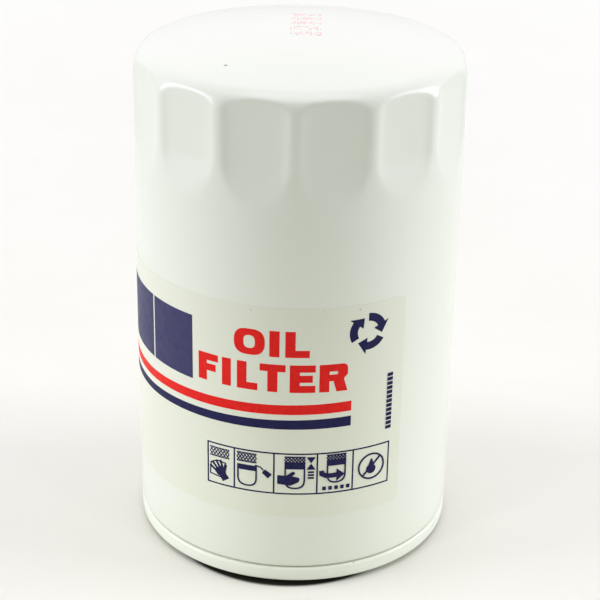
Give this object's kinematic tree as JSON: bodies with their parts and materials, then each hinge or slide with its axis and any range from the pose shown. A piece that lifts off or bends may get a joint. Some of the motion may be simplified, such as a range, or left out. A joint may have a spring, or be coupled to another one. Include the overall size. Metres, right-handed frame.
{
  "type": "spin-on oil filter",
  "caption": "Spin-on engine oil filter: fluted steel can, double-seamed lid, threaded tapping plate, gasket, pleated paper element, drain-back and bypass valves.",
  "frame": {"origin": "centre of the base gasket's sealing face", "axes": "+Z along the can's axis, towards the domed end; -Y towards the front of the label"},
  "size_m": [0.076, 0.0764, 0.123],
  "materials": {
    "white_enamel": "gloss white enamel",
    "plate_steel": "bare pressed steel, lightly oiled",
    "zinc_sheet": "zinc-plated sheet",
    "spring_steel": "oiled spring steel",
    "gasket_rubber": "satin black, lightly oiled",
    "valve_rubber": "matt black nitrile",
    "potting": "cured plastisol",
    "seam_sealant": "dry compound",
    "filter_paper": "resin-impregnated pleated paper",
    "label_film": "clear gloss film",
    "blue_ink": "screen print on the film",
    "red_ink": "screen print on the film",
    "stamp_ink": "faded date stamp"
  },
  "bodies": {
    "housing": {"can": "white_enamel", "seaming_lid": "white_enamel", "seam_compound": "seam_sealant", "tapping_plate": "plate_steel", "base_gasket": "gasket_rubber", "drainback_valve_collar": "valve_rubber", "hold_down_spring": "spring_steel", "label": "label_film"},
    "drainback_flap": {"drainback_valve_flap": "valve_rubber"},
    "element": {"bottom_end_cap": "zinc_sheet", "bottom_adhesive": "potting", "filter_media": "filter_paper", "media_seam_clip": "zinc_sheet", "center_tube": "zinc_sheet", "top_adhesive": "potting", "top_end_cap": "zinc_sheet", "bypass_valve_cage": "zinc_sheet", "bypass_spring": "spring_steel"},
    "bypass_valve": {"bypass_valve_disc": "spring_steel", "bypass_valve_stem": "spring_steel", "bypass_valve_seal": "valve_rubber"}
  },
  "joints": [
    {"name": "drainback_flap_lift", "type": "slide", "parent": "housing", "child": "drainback_flap", "axis": [0, 0, 1], "range_m": [0, 0.002], "stiffness_N_per_m": 400},
    {"name": "element_float", "type": "slide", "parent": "housing", "child": "element", "axis": [0, 0, 1], "range_m": [0, 0.001], "stiffness_N_per_m": 20000, "deforming": ["hold_down_spring"]},
    {"name": "bypass_valve_slide", "type": "slide", "parent": "element", "child": "bypass_valve", "axis": [0, 0, -1], "range_m": [0, 0.004], "stiffness_N_per_m": 3000, "deforming": ["bypass_spring"]}
  ]
}
